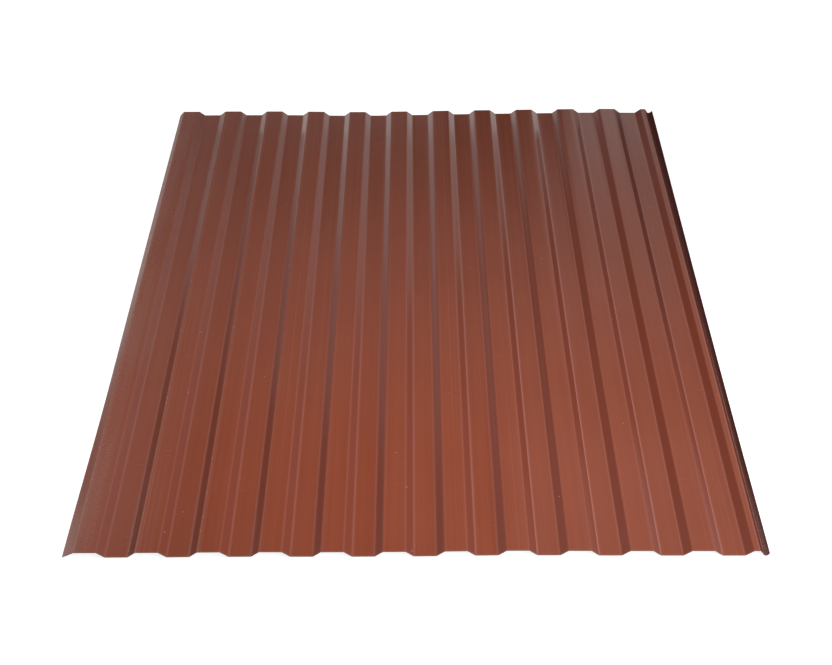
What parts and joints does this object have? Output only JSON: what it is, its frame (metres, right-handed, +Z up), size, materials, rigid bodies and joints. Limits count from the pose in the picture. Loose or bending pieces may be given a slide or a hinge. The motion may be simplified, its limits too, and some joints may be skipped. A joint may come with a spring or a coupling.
{
  "type": "corrugated metal sheet",
  "caption": "Long trapezoidal profiled steel sheet with a brown coating, low flat-topped ribs, a free lapping leg and a capillary groove, for roofs, walls and fences.",
  "frame": {"origin": "middle of the sheet's outline, on the plane that its valleys lie on", "axes": "+Y along the ribs, +X across them towards the capillary groove, +Z up to the rib tops"},
  "size_m": [1.1384, 1.5, 0.0105],
  "materials": {
    "coated_steel": "semi-gloss copper-brown coil coating on galvanised steel, bare at the cut edges"
  },
  "bodies": {
    "root": {"profiled_sheet": "coated_steel"}
  },
  "joints": []
}
